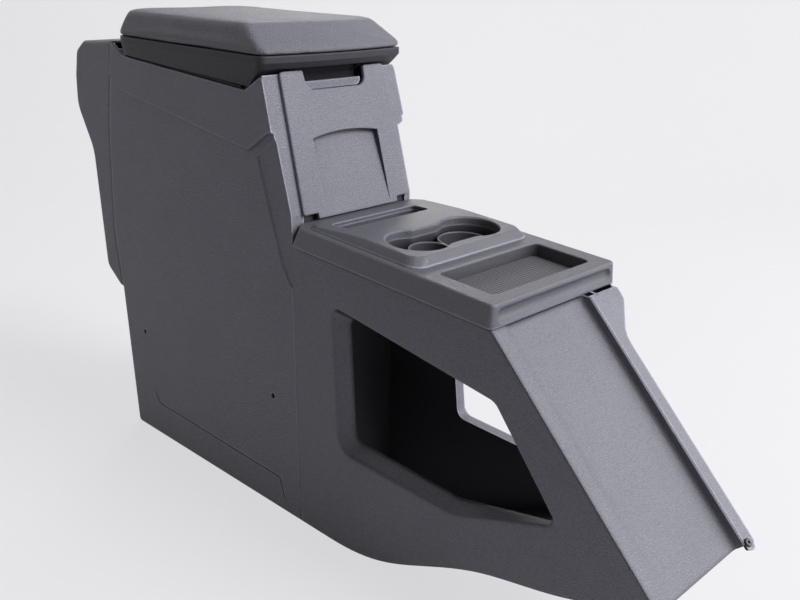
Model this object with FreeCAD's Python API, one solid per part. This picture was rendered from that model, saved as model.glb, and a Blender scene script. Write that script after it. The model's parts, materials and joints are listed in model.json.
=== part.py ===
import FreeCAD, Part
import math
import os

# Car centre console: a tall storage bin with a hinged armrest lid at the rear, and a lower
# front section that carries a tray with cup holders, a mat recess and a sloping front.
# Lengths are in millimetres, +Z is up, -Y is the sloping front and -X the left side.
# Heights are above the floor. While modelling, y = 0 is the seam between bin and front section.

# Body
BODY_HALF = 105.0
WALL = 3.0
SEAM_GAP = 0.6
SEAT_GAP = 0.4

# Storage bin, side view
BIN_LENGTH = 410.0
BIN_TOP_REAR = 592.0
BIN_TOP_FRONT = 571.0
SCALLOP_REAR = (362.0, BIN_TOP_REAR - 18.0)
SCALLOP_FRONT = (76.0, BIN_TOP_FRONT - 19.0)
REAR_EDGE = ((421.0, 221.0, 30.0), (431.0, 312.0, 120.0), (416.0, 467.0, 200.0))
REAR_TOP_Y = 388.0
LEAN_DEG = 15.2
LEAN_FOOT_Z = 412.0
FLANGE_WIDTH = 33.0
RETURN_WIDTH = 20.0
LIP_WIDTH = 9.0
BASE_LIP_WIDTH = 18.0

# Raised band round the upper bin and the shallow strip in front of it
BAND_LINE = ((400.0, 545.0), (376.0, 526.0), (74.0, 481.0), (36.0, 505.0))
BAND_PROUD_LOW = 4.5
BAND_PROUD_TOP = 1.0
BAND_EDGE_R = 3.0
STRIP_LINE = ((24.0, 497.0), (58.0, 475.0), (52.0, 454.0), (18.0, 349.0), (2.0, 325.0))
STRIP_DEPTH = 1.5
STRIP_DEPTH_RIGHT = 10.0
STRIP_RISE = 12.0
STRIP_RAMP = 3.0
KICK_LINE = ((354.0, 70.0), (340.0, 53.0), (42.0, 47.0), (33.0, 19.0))
KICK_DEPTH = 0.8
KICK_WIDTH = 2.4

# Fixing holes in both sides of the bin
FIX_HOLE_R = 4.0
FIX_REAR_Y = 368.0
FIX_FRONT_Y = 50.0
FIX_Z = 164.0

# Rear cover
COVER_BACK = (
    (433.0, 223.0, 8.0), (468.0, 248.0, 20.0), (476.0, 429.0, 60.0), (512.0, 492.0, 45.0),
    (508.0, 537.0, 40.0), (497.0, 574.0, 16.0), (474.0, 588.0, 12.0))
COVER_EDGE_R = 6.0

# Front panel of the bin, on the leaning face
PANEL_FOOT_Z = LEAN_FOOT_Z - 9.0
PANEL_TOP_Z = BIN_TOP_FRONT + 2.0
PANEL_HALF_LOW = 88.0
PANEL_HALF_TOP = 83.0
PANEL_PROUD = 5.0
PANEL_EDGE_R = 1.6
NOTCH_HALF = 48.5
NOTCH_DEPTH = 24.0
NOTCH_CORNER_R = 12.0
FOOT_NOTCH_FROM = 66.0
FOOT_NOTCH_HIGH = 7.0
SCOOP_HALF = 53.0
SCOOP_SIDE = 95.0
SCOOP_TOP = 100.5
SCOOP_DEPTH = 8.0
SCOOP_FOOT = 3.0
SCOOP_REACH = 20.0

# Storage tub
TUB_HALF = BODY_HALF - LIP_WIDTH - SEAT_GAP
TUB_FRONT_Y = 62.0
TUB_REAR_Y = 370.0
TUB_FLOOR_Z = 330.0
TUB_RIM = 2.5
TUB_RIM_OUT = 5.0
TUB_WALL = 2.5
TUB_CORNER_R = 14.0

# Lid
LID_HALF = 112.5
LID_FRONT_Y = 33.0
LID_BOW = 9.0
LID_REAR_Y = 373.0
LID_SEAM_FRONT = BIN_TOP_FRONT + 22.0
LID_SEAM_REAR = BIN_TOP_REAR + 9.0
LID_CORNER_FRONT = 10.0
LID_CORNER_REAR = 34.0
LID_UNDER = ((364.0, BIN_TOP_REAR - 14.5), (71.0, BIN_TOP_FRONT - 14.5), (44.0, BIN_TOP_FRONT + 6.5))
LID_BAND = 8.0
LID_DEEP = 60.0
LID_TUCK = 13.0
LID_TUCK_FRONT = 48.0
LID_TUCK_REAR = 3.0
BOARD_THICK = 6.0
PAD_HIGH = 32.0
PAD_CROWN = 6.0
PAD_BEVEL_SIDE = 12.0
PAD_BEVEL_FRONT = 32.0
PAD_BEVEL_REAR = 10.0
PAD_GAP = 0.4
PAD_FOOT = 8.0
PAD_INSET = 0.5
PAD_CROWN_RUN = 30.0

# Hinge at the rear of the lid
HINGE_Y = 379.0
HINGE_Z = BIN_TOP_REAR + 7.0
PIN_R = 2.0
PIN_CLEAR = 0.05
KNUCKLE_R = 4.5
HINGE_HALF = 72.0
BRACKET_LOW = 40.0
BRACKET_UNDER = 3.5
KNUCKLE_GAP = 0.5
LEAF_THICK = 2.0
LEAF_PLATE = 1.2
LEAF_PLATE_LOW = 16.0
LEAF_PLATE_TOP = 1.0
PIN_PAST = 1.0

# Latch under the lid's front edge
LATCH_Y = 56.0
LATCH_Z = BIN_TOP_FRONT + 9.0
LATCH_HALF = 45.0
LATCH_BARREL_R = 4.0
LATCH_PIN_R = 1.6
LATCH_SIDE_GAP = 3.0
LATCH_FRONT_GAP = 4.0
LATCH_ROOF = 1.5
LATCH_FOOT_Z = BIN_TOP_FRONT - 20.8
LATCH_THICK = 3.5
LATCH_LIP_HIGH = 10.0
LATCH_LIP_DEEP = 10.0
LATCH_LIP_BACK = 0.8
LATCH_CORNER_R = 11.0
NOSE_HALF = 14.0
NOSE_DROP = 14.5
NOSE_HIGH = 5.0
STRIKER_GAP = 0.4
STRIKER_ROOM = 2.5
STRIKER_TOP = BIN_TOP_FRONT - 2.0
STRIKER_LAP = 24.0
STRIKER_PROUD = 3.0

# Rubber bumpers under the lid, on the rim of the tub
BUMPER_R = 4.0
BUMPER_FROM_REAR = 20.0
BUMPER_GAP = 0.6
BUMPER_SINK = 1.0

# Front section, side view
SLOPE_TOP = (-311.0, 354.0)
SLOPE_END = (-517.0, 137.0)
UNDERSIDE = ((-399.0, 97.0), (-307.0, 75.0), (-234.0, 46.0), (-151.0, 12.0))
FOOT_FRONT_Y = -60.0
WINDOW_OUTER = (
    (-69.0, 321.0, 14.0), (-78.0, 131.0, 26.0), (-266.0, 127.0, 60.0), (-402.0, 177.0, 8.0),
    (-318.0, 282.0, 18.0))
WINDOW_INNER = (
    (-90.0, 308.0, 10.0), (-97.5, 152.0, 12.0), (-266.0, 144.5, 60.0), (-391.0, 171.0, 6.0),
    (-316.0, 274.0, 14.0))
WINDOW_DEEP = 14.0
BORDER_WIDTH = 18.0
BORDER_STEP = 2.0
BORDER_RAMP = 8.0
BORDER_R = 10.0
SLOPE_RIGHT = 47.5
SLOPE_RISE = 9.0
SLOPE_ROOT_R = 6.0
UNDER_FLANGE = 26.0

# Separate right-hand panel of the front section
RIGHT_X = 63.0
RIGHT_FLANGE_OUT = 65.0
RIGHT_EAR_OUT = 98.0
RIGHT_EAR_LONG = 20.0
RIGHT_EAR_RUN = 58.0
RIGHT_SHOULDER_LOW = 313.0
RIGHT_SHOULDER_HIGH = 345.0
RIGHT_TIP = 10.0
RIGHT_FRAME = 12.0
RIGHT_WINDOW = (
    (-108.0, 300.0, 14.0), (-125.0, 138.5, 14.0), (-262.0, 133.0, 60.0),
    (-389.0, 168.0, 8.0), (-316.0, 270.0, 16.0))

# Tray on the front section
TRAY_REAR_Z = 378.0
TRAY_TILT_DEG = 3.9
TRAY_LENGTH = 312.0
TRAY_START = 1.0
TRAY_HIGH = 25.0
TRAY_INSET = 2.0
TRAY_HALF = 108.0
TRAY_CORNER_R = 6.0
TRAY_CHAMFER_LOW = 4.0
TRAY_CHAMFER_TOP = 15.0
TRAY_EDGE_R = 3.0
GRIP_HALF = 90.0
GRIP_LOW = 3.5
GRIP_HIGH = 20.5
GRIP_DEEP = 4.0
SLOT_X = -7.0
SLOT_HALF = 69.0
SLOT_FROM = 36.0
SLOT_TO = 66.0
SLOT_DEEP = 34.0
MAT_HALF = 83.0
MAT_LIP = 20.0
MAT_LONG = 77.0
MAT_TO = TRAY_LENGTH - MAT_LIP
MAT_FROM = MAT_TO - MAT_LONG
MAT_DEEP = 18.0
MAT_THICK = 3.0
MAT_GAP = 1.0
POCKET_R = 7.0
POCKET_EDGE_R = 1.5

# Cup holder
BEZEL_HALF = 98.0
BEZEL_FROM = 16.0
BEZEL_TO = 199.0
BEZEL_HIGH = 10.0
BEZEL_REAR_HIGH = 3.0
BEZEL_CREST_Y = 98.0
BEZEL_INSET = 8.0
BEZEL_CORNER_R = 18.0
BEZEL_EDGE_R = 3.0
CUP_EDGE_R = 2.5
CUP_Y = 147.0
CUP_LEFT_X = -43.0
CUP_LEFT_R = 36.0
CUP_RIGHT_X = 44.0
CUP_RIGHT_R = 36.0
CUP_WAIST = 29.0
CUP_BLEND_R = 12.0
CUP_WALL = 2.5
CUP_STEP = 26.0
CUP_DEEP = 66.0
CUP_RING = 20.0
WELLS = ((-20.0, 24.0), (36.0, 29.0))

# Screw through the tip of the right-hand flange
SCREW_R = 2.1
SCREW_HEAD_R = 4.5
SCREW_HEAD_HIGH = 2.6
SCREW_LONG = 14.0
SCREW_CLEAR = 0.1

V = FreeCAD.Vector
X_AXIS = V(1, 0, 0)
ORIGIN = V(0, 0, 0)
BIG = 2000.0


def on_x(x):
    """Places (y, z) pairs on the plane at this x."""
    return lambda a, b: V(x, a, b)


def on_y(y):
    """Places (x, z) pairs on the plane at this y."""
    return lambda a, b: V(a, y, b)


def on_z(z):
    """Places (x, y) pairs on the plane at this z."""
    return lambda a, b: V(a, b, z)


def rounded(points, place):
    """Closed wire through points (a, b) or (a, b, corner radius)."""
    corners = [(p[0], p[1], p[2] if len(p) > 2 else 0.0) for p in points]
    count = len(corners)
    stops = []
    for i, (a, b, r) in enumerate(corners):
        here = V(a, b, 0)
        back = V(corners[i - 1][0], corners[i - 1][1], 0) - here
        ahead = V(corners[(i + 1) % count][0], corners[(i + 1) % count][1], 0) - here
        room = 0.45 * min(back.Length, ahead.Length)
        half = back.getAngle(ahead) / 2
        run = min(r / math.tan(half), room) if r > 0 else 0.0
        if run < 1e-6:
            stops.append((here, None, here))
            continue
        r = run * math.tan(half)
        back.normalize()
        ahead.normalize()
        middle = back + ahead
        middle.normalize()
        top = here + middle * (r / math.sin(half) - r)
        stops.append((here + back * run, top, here + ahead * run))
    edges = []
    for i, (first, top, last) in enumerate(stops):
        if top is not None:
            arc = [place(p.x, p.y) for p in (first, top, last)]
            edges.append(Part.Arc(*arc).toShape())
        start = place(last.x, last.y)
        end = place(stops[(i + 1) % count][0].x, stops[(i + 1) % count][0].y)
        if (end - start).Length > 1e-5:
            edges.append(Part.makeLine(start, end))
    return Part.Wire(edges)


def prism_x(points, x0, x1):
    """Solid with a (y, z) profile between two x planes."""
    return Part.Face(rounded(points, on_x(x0))).extrude(V(x1 - x0, 0, 0))


def prism_y(points, y0, y1):
    """Solid with an (x, z) profile between two y planes."""
    return Part.Face(rounded(points, on_y(y0))).extrude(V(0, y1 - y0, 0))


def prism_z(points, z0, z1):
    """Solid with an (x, y) profile between two z planes."""
    return Part.Face(rounded(points, on_z(z0))).extrude(V(0, 0, z1 - z0))


def box(x0, x1, y0, y1, z0, z1):
    return Part.makeBox(x1 - x0, y1 - y0, z1 - z0, V(x0, y0, z0))


def rod_x(radius, x0, x1, y, z):
    return Part.makeCylinder(radius, x1 - x0, V(x0, y, z), X_AXIS)


def loft(wires):
    return Part.makeLoft(wires, True, True)


def fuse(first, *others):
    return first.fuse(list(others)).removeSplitter()


def mirrored(shape):
    return shape.mirror(ORIGIN, X_AXIS)


def fillet_where(shape, radius, wanted):
    """Rounds the edges whose middle and ends satisfy wanted(point)."""
    chosen = []
    for edge in shape.Edges:
        middle = edge.valueAt((edge.FirstParameter + edge.LastParameter) / 2)
        if all(wanted(p) for p in [middle] + [v.Point for v in edge.Vertexes]):
            chosen.append(edge)
    return shape.makeFillet(radius, chosen)


def lean_y(z):
    """y of the leaning front face at a height."""
    return (z - LEAN_FOOT_Z) * math.tan(math.radians(LEAN_DEG))


# Storage bin

def bin_outline(inset=0.0):
    """Side view of the bin; inset moves only its rear edge forwards."""
    rear = [(y - inset, z, r) for y, z, r in REAR_EDGE]
    return [
        (0.0, 0.0), (BIN_LENGTH - inset, 0.0, 6.0), *rear, (REAR_TOP_Y - inset, BIN_TOP_REAR, 5.0),
        (*SCALLOP_REAR, 16.0), (*SCALLOP_FRONT, 16.0), (lean_y(BIN_TOP_FRONT), BIN_TOP_FRONT, 4.0),
        (0.0, LEAN_FOOT_Z, 30.0)]


def make_left_side(strip_depth):
    out = -BODY_HALF
    inner = out + WALL
    outline = bin_outline()
    wall = prism_x(outline, out, inner)

    # Raised band, thickest along its lower edge
    over = [*BAND_LINE, (lean_y(BAND_LINE[-1][1]) - 20, BAND_LINE[-1][1] + 6)]
    start_y, start_z = BAND_LINE[0]
    above = prism_x([(start_y + BIN_LENGTH, start_z + BIN_LENGTH / 3), *over, (-BIG, BIG), (BIG, BIG)],
                    out - 20, inner)
    low = min(p[1] for p in BAND_LINE)
    wedge = prism_y([(inner, low - 2), (out - BAND_PROUD_LOW, low - 2),
                     (out - BAND_PROUD_TOP, BIN_TOP_REAR), (inner, BIN_TOP_REAR)], -BIG, BIG)
    band = prism_x(outline, out - 20, inner).common(above).common(wedge)
    band = fillet_where(band, BAND_EDGE_R, lambda p: p.x < out - BAND_PROUD_TOP / 2 and p.z < start_z + 7)

    # Shallow strip next to the leaning front
    strip_cut = loft([strip_wire(STRIP_RAMP, out - 0.01), strip_wire(0, out + strip_depth)])
    backing = loft([strip_wire(STRIP_RAMP + WALL, inner - 1), strip_wire(WALL, inner + strip_depth)])
    backing = backing.common(prism_x(outline, inner - 1, inner + strip_depth))

    # Flanges turned inwards: leaning front, seam, rear edge, top edge and base
    depth = WALL / math.cos(math.radians(LEAN_DEG))
    top_y = lean_y(BIN_TOP_FRONT)
    lean = prism_x([(0, LEAN_FOOT_Z), (top_y, BIN_TOP_FRONT), (top_y + depth, BIN_TOP_FRONT),
                    (depth, LEAN_FOOT_Z)], out, out + FLANGE_WIDTH)
    lean_top = prism_x([(lean_y(BAND_LINE[-1][1]), BAND_LINE[-1][1]), (top_y, BIN_TOP_FRONT),
                        (top_y + depth, BIN_TOP_FRONT), (lean_y(BAND_LINE[-1][1]) + depth, BAND_LINE[-1][1])],
                       out, out + FLANGE_WIDTH)
    seam = box(out, out + RETURN_WIDTH, 0, WALL, 0, LEAN_FOOT_Z)
    deep = prism_x(outline, out, out + RETURN_WIDTH)
    rear = deep.cut(deep.translated(V(0, -WALL, 0))).common(
        box(-BIG, 0, FIX_REAR_Y, BIG, WALL, SCALLOP_REAR[1] - 4))
    shallow = prism_x(outline, out, out + LIP_WIDTH)
    top = shallow.cut(shallow.translated(V(0, 0, -WALL))).common(
        box(-BIG, 0, SCALLOP_FRONT[0] - 20, SCALLOP_REAR[0] + 12, SCALLOP_FRONT[1] - 20, BIG))
    base = box(out, out + BASE_LIP_WIDTH, 0, BIN_LENGTH - 2 * WALL, 0, WALL)

    front = fuse(wall, backing, lean, seam).cut(strip_cut)
    side = fuse(front, band, lean_top, rear, top, base)

    # Shallow line of the kick band, and the two fixing holes
    for (y0, z0), (y1, z1) in zip(KICK_LINE, KICK_LINE[1:]):
        run = math.hypot(y1 - y0, z1 - z0)
        dy, dz = (z1 - z0) / run * KICK_WIDTH / 2, -(y1 - y0) / run * KICK_WIDTH / 2
        side = side.cut(prism_x([(y0 + dy, z0 + dz), (y1 + dy, z1 + dz), (y1 - dy, z1 - dz),
                                 (y0 - dy, z0 - dz)], out - 1, out + KICK_DEPTH))
    for y in (FIX_REAR_Y, FIX_FRONT_Y):
        side = side.cut(rod_x(FIX_HOLE_R, out - 5, inner + 5, y, FIX_Z))
    return side


def strip_wire(grow, x):
    """Outline of the strip beside the leaning front, grown, on an x plane."""
    ahead = -BIN_LENGTH / 10
    top_y, top_z = STRIP_LINE[0]
    line = [(ahead, top_z + STRIP_RISE + grow), (top_y, top_z + grow)]
    line += [(y + grow, z) for y, z in STRIP_LINE[1:]]
    line += [(ahead, STRIP_LINE[-1][1] - STRIP_RISE / 2 - grow)]
    return rounded(line, on_x(x))


def make_rear_cover():
    seam = [(REAR_TOP_Y + SEAM_GAP, BIN_TOP_REAR, 3.0)]
    seam += [(y + SEAM_GAP, z, r) for y, z, r in reversed(REAR_EDGE)]
    points = [*seam, *COVER_BACK]
    half = BODY_HALF
    solid = prism_x(points, -half, half)
    limit = COVER_BACK[0][1]
    solid = fillet_where(solid, COVER_EDGE_R, lambda p: abs(abs(p.x) - half) < 0.01 and p.z > limit - 2
                         and p.y > front_of_cover(p.z) + 2)
    inner = Part.Face(rounded(points, on_x(-half + WALL))).makeOffset2D(-WALL)
    hollow = inner.extrude(V(2 * (half - WALL), 0, 0))
    opened = hollow.fuse([hollow.translated(V(0, -2 * WALL, 0)), hollow.translated(V(0, -4 * WALL, 0))])
    return solid.cut(opened)


def front_of_cover(z):
    """y of the seam between side and cover at a height."""
    line = [(BIN_LENGTH, 0.0), *[(p[0], p[1]) for p in REAR_EDGE], (REAR_TOP_Y, BIN_TOP_REAR)]
    for (y0, z0), (y1, z1) in zip(line, line[1:]):
        if z0 <= z <= z1:
            return y0 + (y1 - y0) * (z - z0) / (z1 - z0)
    return REAR_TOP_Y


def make_bulkhead():
    """Cross wall behind the seam, up to the leaning front."""
    half = BODY_HALF - WALL - STRIP_DEPTH_RIGHT - SEAT_GAP
    return box(-half, half, WALL, 2 * WALL, WALL + SEAT_GAP, LEAN_FOOT_Z - WALL)


def make_front_panel():
    """Panel on the leaning face; made upright with its back at y = 0 and then leaned."""
    tall = (PANEL_TOP_Z - PANEL_FOOT_Z) / math.cos(math.radians(LEAN_DEG))
    outline = [
        (-FOOT_NOTCH_FROM, 0, 2), (FOOT_NOTCH_FROM, 0, 2), (FOOT_NOTCH_FROM, FOOT_NOTCH_HIGH, 2),
        (PANEL_HALF_LOW, FOOT_NOTCH_HIGH, 3), (PANEL_HALF_TOP, tall, 5), (NOTCH_HALF, tall, 3),
        (NOTCH_HALF - 2, tall - NOTCH_DEPTH, NOTCH_CORNER_R),
        (-NOTCH_HALF + 2, tall - NOTCH_DEPTH, NOTCH_CORNER_R),
        (-NOTCH_HALF, tall, 3), (-PANEL_HALF_TOP, tall, 5), (-PANEL_HALF_LOW, FOOT_NOTCH_HIGH, 3),
        (-FOOT_NOTCH_FROM, FOOT_NOTCH_HIGH, 2)]
    plate = prism_y(outline, -PANEL_PROUD, 0)
    plate = fillet_where(plate, PANEL_EDGE_R, lambda p: p.y < -PANEL_PROUD + 0.01)

    # Finger scoop with an arched top, deepest there and running out at the foot
    scoop = scoop_prism(SCOOP_HALF, SCOOP_SIDE, SCOOP_TOP, SCOOP_FOOT, 0.0)
    back = scoop_prism(SCOOP_HALF + WALL, SCOOP_SIDE + WALL, SCOOP_TOP + WALL, SCOOP_FOOT - WALL, WALL)
    back = back.common(box(-BIG, BIG, -0.5, BIG, FOOT_NOTCH_HIGH, BIG))
    panel = fuse(plate, back).cut(scoop)
    panel.rotate(ORIGIN, X_AXIS, -LEAN_DEG)
    panel.translate(V(0, lean_y(PANEL_FOOT_Z), PANEL_FOOT_Z))
    return panel


def scoop_prism(half, side, top, foot, behind):
    """Region in front of the scoop's floor, moved back by behind."""
    near = -SCOOP_REACH
    arch = [
        Part.makeLine(V(-half, near, foot), V(half, near, foot)),
        Part.makeLine(V(half, near, foot), V(half, near, side)),
        Part.Arc(V(half, near, side), V(0, near, top), V(-half, near, side)).toShape(),
        Part.makeLine(V(-half, near, side), V(-half, near, foot))]
    column = Part.Face(Part.Wire(arch)).extrude(V(0, 3 * SCOOP_REACH, 0))
    front = -PANEL_PROUD
    deep = front + SCOOP_DEPTH + behind
    high = SCOOP_TOP + SCOOP_REACH
    floor = prism_x([(front + near, near), (front - 1 + behind, near), (front + behind, SCOOP_FOOT),
                     (deep, SCOOP_TOP), (deep, high), (front + near, high)], -BIG, BIG)
    return column.common(floor)


def rim_z(y):
    """Height of the straight top lips of the sides, where the tub hangs."""
    rise = (SCALLOP_REAR[1] - SCALLOP_FRONT[1]) / (SCALLOP_REAR[0] - SCALLOP_FRONT[0])
    return SCALLOP_FRONT[1] + (y - SCALLOP_FRONT[0]) * rise


def tub_block(inset, floor):
    half = TUB_HALF - inset
    front, rear, radius = TUB_FRONT_Y + inset, TUB_REAR_Y - inset, TUB_CORNER_R - inset
    corners = [(-half, front, radius), (half, front, radius), (half, rear, radius), (-half, rear, radius)]
    return prism_z(corners, floor, BIG)


def make_tub():
    front, rear = TUB_FRONT_Y - 20, TUB_REAR_Y + 20
    under_rim = prism_x([(front, 0), (rear, 0), (rear, rim_z(rear) + TUB_RIM),
                         (front, rim_z(front) + TUB_RIM)], -BIG, BIG)
    start, end = SCALLOP_FRONT[0] + 16, SCALLOP_REAR[0] - 16
    half = TUB_HALF + TUB_RIM_OUT
    rim = prism_x([(start, rim_z(start)), (end, rim_z(end)), (end, rim_z(end) + TUB_RIM),
                   (start, rim_z(start) + TUB_RIM)], -half, half)
    walls = tub_block(0, TUB_FLOOR_Z).common(under_rim)
    return fuse(walls, rim).cut(tub_block(TUB_WALL, TUB_FLOOR_Z + TUB_WALL))


def make_bumpers():
    """Two bumpers let into the rim of the tub near its rear end."""
    y = TUB_REAR_Y - TUB_WALL - BUMPER_FROM_REAR
    foot = rim_z(y) + TUB_RIM - BUMPER_SINK
    top = lid_under_z(y) - BUMPER_GAP
    pads = []
    for x in (-TUB_HALF - 0.5, TUB_HALF + 0.5):
        pads.append(Part.makeCylinder(BUMPER_R, top - foot, V(x, y, foot)))
    return Part.makeCompound(pads)


def make_rear_wall():
    """Curved back of the bin, inside the rear returns of the sides."""
    half = BODY_HALF - WALL - SEAT_GAP
    whole = prism_x(bin_outline(WALL), -half, half)
    sheet = whole.cut(whole.translated(V(0, -WALL, 0)))
    return sheet.common(box(-half, half, FIX_REAR_Y, BIG, WALL, SCALLOP_REAR[1] - 10))


# Front section

def tray_place(shape):
    """Moves a shape from the tray's own level frame to its tilted place."""
    placed = shape.copy()
    placed.rotate(ORIGIN, X_AXIS, TRAY_TILT_DEG)
    placed.translate(V(0, 0, TRAY_REAR_Z))
    return placed


def slope_place(shape):
    """Moves a shape from the slope's own frame (s down the slope, n outwards) to its place."""
    angle = math.degrees(math.atan2(SLOPE_TOP[1] - SLOPE_END[1], SLOPE_TOP[0] - SLOPE_END[0]))
    placed = shape.copy()
    placed.rotate(ORIGIN, X_AXIS, angle)
    placed.translate(V(0, *SLOPE_TOP))
    return placed


def slope_length():
    return math.hypot(SLOPE_TOP[0] - SLOPE_END[0], SLOPE_TOP[1] - SLOPE_END[1])


def front_outline_solid(x0, x1):
    """Side view of the front section between two x planes."""
    start = V(x0, -SEAM_GAP, 0)
    foot = V(x0, FOOT_FRONT_Y, 0)
    end = V(x0, *SLOPE_END)
    curve = Part.BSplineCurve()
    curve.interpolate(Points=[end] + [V(x0, y, z) for y, z in UNDERSIDE] + [foot],
                      InitialTangent=V(0, 1, -0.34), FinalTangent=V(0, 1, 0))
    high = TRAY_REAR_Z + 2 * TRAY_HIGH
    top = V(x0, SLOPE_TOP[0] + (high - SLOPE_TOP[1]) * (SLOPE_TOP[0] - SLOPE_END[0])
            / (SLOPE_TOP[1] - SLOPE_END[1]), high)
    edges = [
        curve.toShape(), Part.makeLine(foot, start), Part.makeLine(start, V(x0, -SEAM_GAP, high)),
        Part.makeLine(V(x0, -SEAM_GAP, high), top), Part.makeLine(top, end)]
    solid = Part.Face(Part.Wire(edges)).extrude(V(x1 - x0, 0, 0))
    return solid.cut(tray_seat())


def tray_seat():
    """Everything above the tray's lower edge."""
    return tray_place(box(-BIG, BIG, -BIG, BIG, -SEAT_GAP, BIG))


def make_front_shell():
    out = -BODY_HALF
    inner = out + WALL
    wall = front_outline_solid(out, inner)

    # Sloping panel: border at the left, shallow field, and a low wall at the right
    field = -BORDER_STEP
    left = out + BORDER_WIDTH
    sheet = [
        (out, 0), (left, 0, BORDER_R), (left + BORDER_RAMP, field, BORDER_R),
        (SLOPE_RIGHT - WALL - 1, field, SLOPE_ROOT_R),
        (SLOPE_RIGHT - WALL, SLOPE_RISE), (SLOPE_RIGHT, SLOPE_RISE), (SLOPE_RIGHT, field - WALL),
        (left + BORDER_RAMP - 2, field - WALL), (left - 2, -WALL), (out, -WALL)]
    slope = slope_place(prism_y(sheet, -slope_length(), TRAY_LENGTH / 5)).cut(tray_seat())
    slope = slope.cut(box(-BIG, BIG, -TRAY_LENGTH + 2 * TRAY_INSET, BIG, 0, BIG))

    # Flared frame of the side window
    outer = [(y, z, r) for y, z, r in WINDOW_OUTER]
    funnel = loft([rounded(outer, on_x(out - 0.5)), rounded(WINDOW_INNER, on_x(out + WINDOW_DEEP + 0.5))])
    sleeve = loft([grown(WINDOW_OUTER, WALL, out), grown(WINDOW_INNER, WALL, out + WINDOW_DEEP)])
    seam = box(out, out + RETURN_WIDTH, -SEAM_GAP - WALL, -SEAM_GAP, 0, TRAY_REAR_Z - 2)
    return fuse(wall, slope, seam, sleeve, under_flange(out, out + UNDER_FLANGE)).cut(funnel)


def under_flange(x0, x1):
    """Flange turned inwards along the curved underside."""
    whole = front_outline_solid(x0, x1)
    edge = whole.cut(whole.translated(V(0, 0, WALL)))
    return edge.common(box(-BIG, BIG, SLOPE_END[0] + UNDER_FLANGE, BIG, 0, BIG))


def grown(points, by, x):
    """The same outline as points, grown by an amount, on an x plane."""
    middle_y = sum(p[0] for p in points) / len(points)
    middle_z = sum(p[1] for p in points) / len(points)
    bigger = []
    for y, z, r in points:
        run = math.hypot(y - middle_y, z - middle_z)
        bigger.append((y + (y - middle_y) / run * by * 1.4, z + (z - middle_z) / run * by * 1.4, r + by))
    return rounded(bigger, on_x(x))


def make_right_front():
    inner = RIGHT_X - WALL
    low = front_outline_solid(inner, RIGHT_X).common(box(-BIG, BIG, -BIG, BIG, 0, RIGHT_SHOULDER_LOW))
    frame = Part.Face(grown(RIGHT_WINDOW, WALL, RIGHT_X)).extrude(V(RIGHT_FRAME, 0, 0))
    low = fuse(low, frame, under_flange(RIGHT_X - UNDER_FLANGE, RIGHT_X))
    low = low.cut(prism_x(RIGHT_WINDOW, inner - WALL, RIGHT_X + RIGHT_FRAME + WALL))
    # Shoulder that carries the wall out to the width of the tray
    outer = BODY_HALF
    shoulder = prism_y([
        (inner, RIGHT_SHOULDER_LOW - 1), (RIGHT_X, RIGHT_SHOULDER_LOW - 1), (RIGHT_X, RIGHT_SHOULDER_LOW, 20),
        (outer, RIGHT_SHOULDER_HIGH, 14), (outer, BIN_TOP_FRONT), (outer - WALL, BIN_TOP_FRONT),
        (outer - WALL, RIGHT_SHOULDER_HIGH + 2, 12), (inner, RIGHT_SHOULDER_LOW + 2, 22)],
        1.25 * SLOPE_TOP[0], -SEAM_GAP)
    shoulder = shoulder.common(front_outline_solid(inner - 20, outer + 20))
    # Flange along the slope, with the flared ear at its top and a tip past the slope's end
    end = slope_length() + RIGHT_TIP
    start = SLOPE_RIGHT + SEAT_GAP
    ear = [
        (start, 4), (RIGHT_EAR_OUT, 4, 4), (RIGHT_EAR_OUT, -RIGHT_EAR_LONG, 12),
        (RIGHT_FLANGE_OUT, -RIGHT_EAR_RUN, 30),
        (RIGHT_FLANGE_OUT, -end + 8, 4), (RIGHT_FLANGE_OUT - 6, -end, 3), (start, -end + 4, 3)]
    flange = prism_z(ear, SLOPE_RISE - WALL, SLOPE_RISE)
    web = prism_z([(inner, 4), (RIGHT_X, 4), (RIGHT_X, -end + 10), (inner, -end + 10)], -10, SLOPE_RISE)
    flange = slope_place(fuse(flange, web)).cut(tray_seat())
    flange = flange.cut(box(-BIG, BIG, -TRAY_LENGTH + 2 * TRAY_INSET, BIG, 0, BIG))
    seam = box(inner, RIGHT_X + RETURN_WIDTH, -SEAM_GAP - WALL, -SEAM_GAP, 0, RIGHT_SHOULDER_LOW)
    body = fuse(low, shoulder, flange, seam)
    return body.cut(flange_screw(SCREW_CLEAR))


def flange_screw(grow=0.0):
    """Pan-head screw normal to the flange near its tip."""
    x = (SLOPE_RIGHT + RIGHT_FLANGE_OUT) / 2 - 4
    y = -slope_length() - RIGHT_TIP + 10
    shank = Part.makeCylinder(SCREW_R + grow, SCREW_LONG + grow, V(x, y, SLOPE_RISE - SCREW_LONG - grow))
    head = Part.makeCylinder(SCREW_HEAD_R + grow, SCREW_HEAD_HIGH, V(x, y, SLOPE_RISE))
    if grow == 0.0:
        head = fillet_where(head, 1.2, lambda p: p.z > SLOPE_RISE + SCREW_HEAD_HIGH - 0.01)
        driver = Part.makeCylinder(1.6, 1.4, V(x, y, SLOPE_RISE + SCREW_HEAD_HIGH - 1.3))
        head = head.cut(driver)
    return slope_place(fuse(shank, head))


# Tray and cup holder, in the tray's own level frame with h = 0 at its lower edge

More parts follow.
